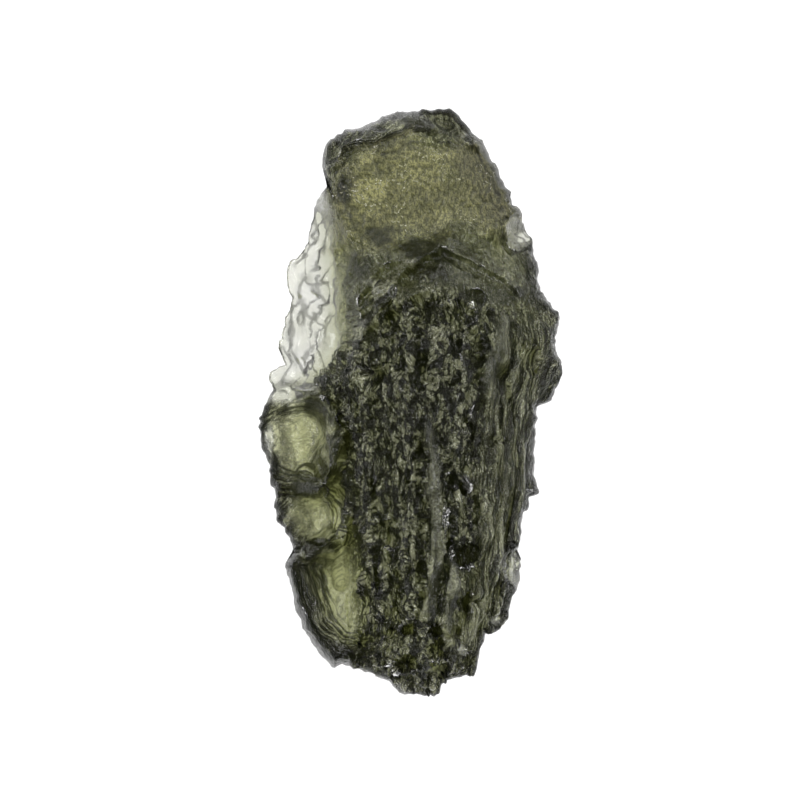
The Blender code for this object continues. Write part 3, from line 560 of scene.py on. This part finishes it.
def fine_above(x, y, z, rim):
    """Fine relief of the upper side, region by region, and its lines of painted shade along grooves, steps
    and cracks.
    """
    facet, band, wing, foot, scoop, strands, smooth, calm = regions(x, y)
    across, ahead = unrolled(x, y, z)
    rough = (1 - facet) * (1 - band) * (1 - wing - foot - scoop) * (1 - 0.6 * smooth)
    cups = rough * (1 - 0.7 * strands) * (1 - 0.7 * calm)

    wander = 0.25 * noise(31, x / 1.3, y / 1.3)
    drawn = 1 + 0.8 * eased(5.0, -1.0, y) * eased(-13.5, -11.5, y)
    large = bowls(41, across / CUP_WIDE, ahead / CUP_LONG / drawn, z / 0.8)
    small = bowls(47, across / SMALL_CUP_WIDE, ahead / SMALL_CUP_LONG / drawn, z / 0.5)
    relief = CUP_DEEP * cups * (large - 0.5)
    relief += SMALL_CUP_DEEP * cups * (small - 0.5)
    relief -= CLEFT_DEEP * cups * crevices(53, 0.3, across / CLEFT_WIDE, ahead / CLEFT_LONG / drawn)
    ribs = 1 - 2 * np.abs(noise(61, (across + wander) / RIB_WIDE, ahead / RIB_LONG))
    relief += RIB_HIGH * rough * eased(5.0, 2.0, y) * ribs
    relief += 0.06 * calm * rough * noise(193, x / 0.3, y / 0.3)
    fine = 1 - 2 * np.abs(noise(67, (across + 0.4 * wander) / STRAND_WIDE, ahead / STRAND_LONG))
    relief += STRAND_HIGH * rough * strands * fine
    # Lines of painted shade along the grooves between strands, threads, layers, risers, flutes and round the
    # ring.
    shaded_lines = 0.75 * strands * eased(0.2, -0.1, fine)

    fibre, along = along_fibres(x, y)
    near = eased(1.0, 0.4, away_from(x, y, FIBRES) / FIBRES_WIDE) * rough
    threads = noise(71, (fibre + 0.5 * wander) / THREAD_WIDE, along / THREAD_LONG)
    relief += THREAD_HIGH * near * threads
    shaded_lines = np.maximum(shaded_lines, 0.8 * near * eased(0.1, -0.35, threads))

    relief += 0.03 * facet * noise(79, x / 0.5, y / 0.5) + 0.02 * facet * noise(73, x / 0.22, y / 0.22)

    layers = noise(83, (rim + 0.15 * wander) / LAYER_WIDE, x / LAYER_LONG)
    relief += LAYER_HIGH * band * layers
    shaded_lines = np.maximum(shaded_lines, 0.7 * band * eased(0.1, -0.35, layers))

    step = rim / TERRACE_WIDE + 0.8 * noise(97, x / 1.1, y / 1.1) + 0.35 * noise(101, x / 0.35, y / 0.35)
    share_of_step = step - np.floor(step)
    terraces = eased(0.7, 1.0, share_of_step) - share_of_step
    outer = wing * eased(2.6, 1.6, rim)
    relief += TERRACE_HIGH * outer * terraces
    relief += 0.02 * wing * noise(103, x / 0.3, y / 0.3)
    risers = eased(0.62, 0.72, share_of_step) * eased(1.0, 0.88, share_of_step)
    shaded_lines = np.maximum(shaded_lines, 0.85 * outer * risers * eased(-0.5, 0.0, noise(173, x / 0.9, y / 0.9)))
    bent_x = x + 0.2 * noise(197, x / 0.7, y / 0.7) + 0.04 * noise(229, x / 0.2, y / 0.2)
    bent_y = y + 0.2 * noise(199, x / 0.7, y / 0.7) + 0.04 * noise(233, x / 0.2, y / 0.2)
    for line in DRAWN_LINES:
        off = away_from(bent_x, bent_y, line)
        relief -= DRAWN_LINE_DEEP * eased(0.14, 0.03, off)
        shaded_lines = np.maximum(shaded_lines, 0.7 * eased(0.11, 0.04, off))

    for (cx, cy), inner, outer, _ in SCOOPS:
        away = from_scoop(x, y, (cx, cy))
        turn = np.arctan2(y - cy, x - cx)
        near = np.maximum(scoop, 0.8 * eased(1.2, 0.2, x - through(BODY_LEFT, y)) * (1 - facet))
        near = near * eased(outer + 1.4, outer + 0.6, away) * eased(inner - 0.1, inner + 0.5, away)
        flutes = noise(107, (away + 0.3 * wander) / SCOOP_FLUTE_WIDE, turn / SCOOP_FLUTE_TURN)
        relief += SCOOP_FLUTE_HIGH * near * flutes
        shaded_lines = np.maximum(shaded_lines, 0.8 * near * eased(0.15, -0.3, flutes))
    relief += 0.08 * scoop * (bowls(109, x / 0.4, y / 0.4) - 0.5)
    ring = np.abs(np.hypot(x - RING[0], y - RING[1]) - RING[2])
    ring += 0.05 * noise(223, x / 0.3, y / 0.3)
    relief -= RING_DEEP * eased(0.16, 0.04, ring)
    shaded_lines = np.maximum(shaded_lines, 0.6 * eased(0.13, 0.05, ring) * eased(-0.5, 0.0, noise(227, x / 0.4, y / 0.4)))

    flutes = noise(113, (rim + 0.2 * wander) / FOOT_FLUTE_WIDE, y / FOOT_FLUTE_LONG)
    near = foot * eased(2.2, 1.6, rim) * (1 - smooth)
    relief += FOOT_FLUTE_HIGH * near * flutes
    shaded_lines = np.maximum(shaded_lines, 0.75 * near * eased(0.15, -0.3, flutes))
    relief += 0.06 * foot * (bowls(127, x / 0.35, y / 0.45) - 0.5)
    return relief, shaded_lines


def fine_below(x, y, z):
    """Fine relief of the underside, calmer under the facet and the wing, which fades out on the worn flat."""
    calm = np.maximum(eased(5.5, 7.5, y), eased(0.6, -0.2, x - through(BODY_LEFT, y)))
    cups = bowls(131, x / UNDER_CUP_WIDE, y / UNDER_CUP_LONG, z / UNDER_CUP_WIDE)
    relief = UNDER_CUP_DEEP * (1 - 0.8 * calm) * (cups - 0.5)
    return relief * eased(-FLAT_CUT, 0.3, belly(x, y))


def pillow():
    """An upper and a lower grid sewn together at the rim. A point's z is its side: 1, -1, or 0 at the rim."""
    bm = bmesh.new()
    for side in (1, -1):
        made = bmesh.ops.create_grid(bm, x_segments=CELLS_ACROSS, y_segments=CELLS_ALONG, size=1)
        for vert in made["verts"]:
            vert.co.z = 0 if vert.is_boundary else side
        if side < 0:
            faces = list({face for vert in made["verts"] for face in vert.link_faces})
            bmesh.ops.reverse_faces(bm, faces=faces)
    bmesh.ops.remove_doubles(bm, verts=bm.verts, dist=1e-5)
    mesh = bpy.data.meshes.new("fine surface")
    bm.to_mesh(mesh)
    bm.free()
    return mesh


def points_of(mesh):
    flat = np.empty(len(mesh.vertices) * 3, np.float32)
    mesh.vertices.foreach_get("co", flat)
    return flat.reshape(-1, 3).astype(float)


def normals_of(mesh):
    flat = np.empty(len(mesh.vertices) * 3, np.float32)
    mesh.vertex_normals.foreach_get("vector", flat)
    return flat.reshape(-1, 3).astype(float)


def place_points(mesh, points):
    mesh.vertices.foreach_set("co", points.astype(np.float32).ravel())
    mesh.update()


def shape(mesh):
    """Moves the pillow's points to the stone's surface, in metres: form, hollows, then fine relief."""
    u, v, side = points_of(mesh).T
    x, y = spread(u, v)
    rim = away_from(x, y, OUTLINE + OUTLINE[:1])
    ragged = 0.1 * noise(139, x / 0.4, y / 0.4) + 0.06 * noise(149, x / 0.2, y / 0.2)
    ragged = (ragged + TEETH) * eased(0.9, 0.0, rim)
    reach = np.hypot(x, y) + 1e-9
    x, y = x + ragged * x / reach, y + ragged * y / reach
    top = upper_form(x, y)
    under = belly(x, y)
    top = np.maximum(top, under + THINNEST)
    middle = under + 0.45 * (top - under)
    rounding = np.clip(ROUNDED_SHARE * (top - under), ROUNDED_LEAST, ROUNDED_MOST)
    closing = np.sqrt(1 - (1 - np.clip(rim / rounding, 0, 1)) ** 2)
    closing = np.where(side == 0, 0, closing)
    z = middle + np.where(side > 0, top - middle, under - middle) * closing
    points = np.stack([x, y, z], axis=1)
    place_points(mesh, points * METRES)

    normals = normals_of(mesh)
    upper = normals[:, 2] > TURNS_UNDER
    thin = np.clip((top - under) / 3.0, 0.35, 1.0)
    points += normals * (etching(x, y, z, upper, rim) * thin)[:, None]
    place_points(mesh, points * METRES)

    normals = normals_of(mesh)
    fine, shaded_lines = np.zeros((2, len(x)))
    fine[upper], shaded_lines[upper] = fine_above(x[upper], y[upper], z[upper], rim[upper])
    fine[~upper] = fine_below(x[~upper], y[~upper], z[~upper])
    points += normals * (fine * eased(-0.05, 0.35, rim))[:, None]
    points[:, 2] = np.maximum(points[:, 2], 0)
    place_points(mesh, points * METRES)
    surface_marks(mesh, x, y, z, upper, fine, shaded_lines, rim)


def simplified(mesh):
    """The same surface with fewer triangles."""
    fine = bpy.data.objects.new("fine surface", mesh)
    bpy.context.scene.collection.objects.link(fine)
    simpler = fine.modifiers.new("Simplify", "DECIMATE")
    simpler.ratio = TRIANGLES / (2 * len(mesh.polygons))
    evaluated = fine.evaluated_get(bpy.context.evaluated_depsgraph_get())
    simple = bpy.data.meshes.new_from_object(evaluated)
    bpy.data.objects.remove(fine)
    return simple


def curved_lines(x, y, rim, z):
    """Where lines follow a curve: the distances across and along them, and how strong they are."""
    facet, band, wing, foot = regions(x, y)[:4]
    across, along = rim - RIM_FOLDED_SHARE * z, y.copy()
    strength = np.maximum(band, foot * eased(2.3, 1.5, rim))
    left_side = eased(1.1, 0.3, x - through(BODY_LEFT, y)) * (1 - facet) * (1 - wing)
    near_fibres = eased(1.0, 0.5, away_from(x, y, FIBRES) / FIBRES_WIDE) * (1 - wing)
    curves = [(*along_fibres(x, y), near_fibres)]
    from_fold = away_from(x, y, FOLD)
    curves.append((from_fold, x, eased(0.8, 0.5, from_fold) * (1 - wing)))
    for (cx, cy), inner, outer, _ in SCOOPS:
        away = from_scoop(x, y, (cx, cy))
        turned = np.arctan2(y - cy, x - cx) * away
        near = eased(outer + 0.9, outer + 0.4, away) * eased(inner - 0.1, inner + 0.5, away) * left_side
        curves.append((away, turned, near))
    for its_across, its_along, near in curves:
        here = near > strength
        across[here], along[here], strength[here] = its_across[here], its_along[here], near[here]
    return across, along, strength


def tone_of(x, y, rim, z):
    """How pale the skin is, 0 to 1, with ragged patches, some of them painted highlights and painted shade.
    """
    facet, band, wing, foot, scoop, strands, smooth, calm = regions(x, y)
    strength = curved_lines(x, y, rim, z)[2] * (1 - facet) * (1 - band)
    tone = np.full(x.shape, BODY_TONE)
    for part, its_tone in (
        (calm, CALM_TONE), (strands, STRAND_TONE), (smooth, SMOOTH_TONE), (band, BAND_TONE),
        (facet, FACET_TONE), (scoop + foot, SCOOP_TONE), (wing, WING_TONE),
    ):
        tone += (its_tone - tone) * part
    tone += (LINED_TONE - tone) * strength * np.clip(scoop + foot + strands + calm, 0, 1)
    bent_x = x + 0.14 * noise(179, x / 0.35, y / 0.35)
    bent_y = y + 0.2 * noise(181, x / 0.35, y / 0.45)
    for (cx, cy), (rx, ry), amount in TONES:
        off = np.sqrt(((bent_x - cx) / rx) ** 2 + ((bent_y - cy) / ry) ** 2)
        tone += TONES_SCALE * amount * eased(1.25, 0.6, off)
    return np.clip(tone + 0.08 * noise(191, x / 0.6, y / 0.9), 0.03, 1.0)


def surface_marks(mesh, x, y, z, upper, relief, shaded_lines, rim):
    """Leaves on each point, for the glass, where it lies on the skin, how pale it is with painted shade in
    its hollows, lines and rim, and its regions.
    """
    facet, band, wing, foot, scoop, strands, smooth, calm = regions(x, y)
    edged = foot + scoop
    cellular = (1 - facet) * (1 - 0.8 * smooth) * (1 - wing) * (1 - 0.75 * edged)
    cellular *= (1 - 0.75 * calm) * (1 - 0.5 * strands) * (1 - 0.6 * band)
    cellular = np.maximum(cellular, 0.9 * (1 - facet) * (1 - wing) * eased(0.8, 0.3, rim))
    columns = (1 - facet - wing) * (1 - edged) * (1 - calm) * eased(4.0, -1.0, y) * (1 - strands)
    sandy = np.clip(facet + 0.9 * calm + 0.35 * edged + 0.5 * band + 0.6 * smooth + 0.06 * wing, 0, 1)
    # Painted shade: darker along the lines and in the low places of the fine relief.
    tone = tone_of(x, y, rim, z) * (1 - shaded_lines) * eased(-0.3, -0.05, relief)
    tone += 0.3 * eased(-10.5, -12.0, y) * (1 - foot)
    # Painted shade: darker close to the rim, except on the wing, and darkest on the outermost edge.
    tone *= 0.45 + 0.55 * np.maximum(wing, eased(0.1, 0.4, rim))
    outermost = (1 - wing) * eased(0.4, 0.1, rim) + 0.8 * foot * eased(0.8, 0.3, rim)
    tone *= 1 - 0.9 * np.clip(outermost, 0, 1)
    place = np.stack([*unrolled(x, y, z), z], axis=1)
    # Painted shade: the underside is darker near the rim and on its outermost edge.
    near_rim = (1 - wing) * eased(1.8, 0.6, rim)
    under_tone = (0.9 - 0.45 * near_rim + 0.1 * wing) * (1 - 0.8 * np.clip(outermost, 0, 1))
    for name, above, below in (
        ("matt", np.maximum(facet, 0.5 * smooth), 0.2),
        ("cellular", cellular, 0.8 * near_rim),
        ("columns", columns, 0.0),
        ("sandy", sandy, 0.4 * near_rim),
        ("gritty", (1 - wing) * (1 - 0.6 * edged), near_rim),
        ("tone", tone, under_tone),
        ("thin", wing, wing),
        ("facet", facet, 0.0),
        ("speckled", np.maximum(facet, 0.7 * calm), 0.0),
        ("strand", strands, 0.0),
    ):
        data = mesh.attributes.new(name, "FLOAT", "POINT").data
        data.foreach_set("value", np.where(upper, above, below).astype(np.float32))
    across, along, strength = curved_lines(x, y, rim, z)
    curve = np.stack([across, along, strength * upper], axis=1)
    for name, values in (("flow", place), ("curve", curve)):
        data = mesh.attributes.new(name, "FLOAT_VECTOR", "POINT").data
        data.foreach_set("vector", values.astype(np.float32).ravel())


def glass():
    """Bottle-green glass: clear where it is thin, nearly black where it is thick, with an etched skin."""
    material = bpy.data.materials.new("moldavite glass")
    material.use_nodes = True
    nodes, links = material.node_tree.nodes, material.node_tree.links

    def mark(name, output="Fac"):
        node = nodes.new("ShaderNodeAttribute")
        node.attribute_name = name
        return node.outputs[output]

    def sums(kind, a, b=0.0, c=0.0):
        node = nodes.new("ShaderNodeMath")
        node.operation = kind
        for socket, given in zip(node.inputs, (a, b, c)):
            if isinstance(given, float):
                socket.default_value = given
            else:
                links.new(given, socket)
        return node.outputs["Value"]

    def scaled(steps, place):
        node = nodes.new("ShaderNodeVectorMath")
        node.operation = "DIVIDE"
        links.new(place or flowing, node.inputs[0])
        node.inputs[1].default_value = steps
        return node.outputs["Vector"]

    def lumps(steps, detail=0.0, place=None):
        node = nodes.new("ShaderNodeTexNoise")
        node.noise_dimensions = "2D"
        node.inputs["Scale"].default_value = 1.0
        node.inputs["Detail"].default_value = detail
        links.new(scaled(steps, place), node.inputs["Vector"])
        return node.outputs["Fac"]

    def borders(steps):
        node = nodes.new("ShaderNodeTexVoronoi")
        node.voronoi_dimensions = "2D"
        node.feature = "DISTANCE_TO_EDGE"
        node.inputs["Scale"].default_value = 1.0
        links.new(scaled(steps, None), node.inputs["Vector"])
        return node.outputs["Distance"]

    def ramp(source, low, high, start=0.0, end=1.0):
        node = nodes.new("ShaderNodeMapRange")
        node.interpolation_type = "SMOOTHSTEP"
        for name, given in (("From Min", low), ("From Max", high), ("To Min", start), ("To Max", end)):
            node.inputs[name].default_value = given
        links.new(source, node.inputs["Value"])
        return node.outputs["Result"]

    def valley(source, reach):
        """0 along thin wandering lines, 1 away from them."""
        return ramp(sums("ABSOLUTE", sums("SUBTRACT", source, 0.5)), 0.0, reach)

    def layered(pattern, amount):
        return sums("MULTIPLY_ADD", sums("SUBTRACT", pattern, 1.0), amount, 1.0)

    flowing = mark("flow", "Vector")
    cellular, columns, sandy = mark("cellular"), mark("columns"), mark("sandy")
    facet, tone, strand = mark("facet"), mark("tone"), mark("strand")
    small_borders = borders(SPOTS)
    curving = mark("curve", "Vector")
    flutes = lumps(FLUTES, 1.0, curving)
    split = nodes.new("ShaderNodeSeparateXYZ")
    links.new(curving, split.inputs["Vector"])
    fluted = split.outputs["Z"]
    filaments = valley(lumps(FILAMENTS, 3.0), 0.1)
    threads = valley(lumps(THREADS, 2.0), 0.09)
    patches = lumps(PATCHES, 1.0)
    streaks = lumps(STREAKS, 1.0)
    panels = lumps(PANELS)
    sand = lumps(SAND, 3.0)
    grit = ramp(lumps(GRIT), 0.3, 0.7, 0.55, 1.5)
    clusters = lumps(CLUSTERS, 1.0)
    specks = ramp(lumps(SPECKS, 1.0), 0.56, 0.66)
    specks = sums("MULTIPLY", specks, ramp(sums("MULTIPLY_ADD", tone, 0.5, clusters), 0.66, 0.76))
    specks = sums("MULTIPLY", specks, mark("speckled"))

    etched = sums("MULTIPLY_ADD", threads, 0.04, sums("MULTIPLY", filaments, 0.07))
    etched = sums("MULTIPLY_ADD", ramp(small_borders, 0.0, 0.3), 0.03, etched)
    height = sums("MULTIPLY", etched, cellular)
    height = sums("MULTIPLY_ADD", sums("MULTIPLY", streaks, 0.12), strand, height)
    height = sums("MULTIPLY_ADD", sums("MULTIPLY", sand, 0.08), sandy, height)
    height = sums("MULTIPLY_ADD", specks, 0.04, height)
    height = sums("MULTIPLY_ADD", sums("MULTIPLY", flutes, 0.12), fluted, height)

    # Painted shade and glints: the pattern darkens the low places of the bump height, its crevices, and pales
    # the cells between them, over the skin's own random mottling.
    network = sums("MULTIPLY", ramp(filaments, 0.1, 1.0, 0.02, 1.0), ramp(threads, 0.1, 1.0, 0.1, 1.0))
    network = sums("MULTIPLY", network, ramp(small_borders, 0.0, 0.16, 0.3, 1.3))
    network = sums("MULTIPLY", network, ramp(patches, 0.4, 0.61, 0.03, 3.9))
    pattern = layered(network, cellular)
    pattern = sums("MULTIPLY", pattern, layered(ramp(panels, 0.38, 0.52, 0.3, 1.5), columns))
    lined = sums("MULTIPLY", ramp(streaks, 0.42, 0.58, 0.15, 1.7), ramp(panels, 0.35, 0.6, 0.55, 1.5))
    pattern = sums("MULTIPLY", pattern, layered(lined, strand))
    pattern = sums("MULTIPLY", pattern, layered(ramp(sand, 0.34, 0.66, 0.45, 1.6), sandy))
    pattern = sums("MULTIPLY", pattern, layered(grit, mark("gritty")))
    pattern = sums("MULTIPLY", pattern, layered(ramp(flutes, 0.41, 0.58, 0.12, 1.9), fluted))
    frost_and_painted_light = sums("MAXIMUM", sums("MULTIPLY", pattern, tone), specks)

    def mixed(amount, first, second):
        node = nodes.new("ShaderNodeMix")
        node.data_type = "RGBA"
        links.new(amount, node.inputs["Factor"])
        for socket, given in zip([i for i in node.inputs if i.type == "RGBA"], (first, second)):
            if isinstance(given, tuple):
                socket.default_value = given
            else:
                links.new(given, socket)
        return next(out for out in node.outputs if out.type == "RGBA")

    surface = nodes["Principled BSDF"]
    skin = mixed(mark("thin"), mixed(facet, FROSTED, FACET_SKIN), THIN_SKIN)
    # A painted glint: the specks are paler than the skin, besides being shinier through the roughness.
    skin = mixed(specks, skin, PAINTED_SPECK_GLINT)
    # The skin's colour falls to the painted crevice shade where the pattern and tone are low.
    links.new(mixed(frost_and_painted_light, PAINTED_CREVICE_SHADE, skin), surface.inputs["Base Color"])
    surface.inputs["Transmission Weight"].default_value = CLEAR
    surface.inputs["IOR"].default_value = IOR
    surface.inputs["Specular IOR Level"].default_value = SHINE
    bump = nodes.new("ShaderNodeBump")
    bump.inputs["Strength"].default_value = 1.0
    bump.inputs["Distance"].default_value = METRES
    links.new(height, bump.inputs["Height"])
    links.new(bump.outputs["Normal"], surface.inputs["Normal"])
    dull = sums("MULTIPLY", mark("matt"), sums("SUBTRACT", 1.0, specks))
    links.new(sums("MULTIPLY_ADD", dull, MATT_ROUGH, LEAST_ROUGH), surface.inputs["Roughness"])

    volume = nodes.new("ShaderNodeVolumeAbsorption")
    strongest = max(ABSORPTION)
    volume.inputs["Density"].default_value = strongest / METRES
    volume.inputs["Color"].default_value = (*(1 - amount / strongest for amount in ABSORPTION), 1.0)
    links.new(volume.outputs["Volume"], nodes["Material Output"].inputs["Volume"])
    return material


def stone():
    fine = pillow()
    shape(fine)
    mesh = simplified(fine)
    mesh.name = "etched_stone"
    mesh.materials.append(glass())
    mesh.shade_smooth()
    piece = bpy.data.objects.new("etched_stone", mesh)
    bpy.context.scene.collection.objects.link(piece)
    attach(piece, "root")
    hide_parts("moldavite")
    return piece


def floor():
    bpy.ops.mesh.primitive_plane_add(size=FLOOR_WIDTH * METRES, location=(0, 0, FLOOR_LIFT * METRES))
    table = bpy.context.object
    table.name = "floor"
    material = bpy.data.materials.new("white table")
    material.use_nodes = True
    surface = material.node_tree.nodes["Principled BSDF"]
    surface.inputs["Base Color"].default_value = FLOOR_GREY
    surface.inputs["Roughness"].default_value = 0.9
    surface.inputs["Specular IOR Level"].default_value = 0.0
    surface.inputs["Emission Color"].default_value = WHITE
    surface.inputs["Emission Strength"].default_value = 1.0
    table.data.materials.append(material)


def soft_light(name, place, size, brightness):
    """A square lamp that looks at the stone; brightness is what a mirror would show."""
    lamp = bpy.data.lights.new(name, "AREA")
    lamp.shape = "SQUARE"
    lamp.size = size
    lamp.energy = brightness * np.pi * size * size
    holder = bpy.data.objects.new(name, lamp)
    holder.location = place
    holder.rotation_euler = (-Vector(place)).to_track_quat("-Z", "Y").to_euler()
    bpy.context.scene.collection.objects.link(holder)


def studio():
    world = bpy.data.worlds.new("dim room")
    world.use_nodes = True
    background = world.node_tree.nodes["Background"]
    background.inputs["Color"].default_value = WHITE
    background.inputs["Strength"].default_value = ROOM_LIGHT
    bpy.context.scene.world = world
    soft_light("left softbox", (-0.4, 0.08, 0.4), 0.38, 5.2)
    soft_light("right softbox", (0.42, -0.04, 0.38), 0.34, 5.2)
    soft_light("top softbox", (0.03, 0.46, 0.34), 0.26, 5.1)
    bpy.context.scene.view_settings.view_transform = "Standard"


def camera():
    lens = bpy.data.cameras.new("camera")
    lens.sensor_width = 36.0
    lens.lens = lens.sensor_width * (CAMERA_HEIGHT - HEIGHT / 2) / VIEW_ACROSS
    lens.clip_start = 0.01
    lens.clip_end = 10.0
    holder = bpy.data.objects.new("camera", lens)
    holder.location = (VIEW_MIDDLE[0] * METRES, VIEW_MIDDLE[1] * METRES, CAMERA_HEIGHT * METRES)
    bpy.context.scene.collection.objects.link(holder)
    bpy.context.scene.camera = holder


camera()
studio()
floor()
stone()
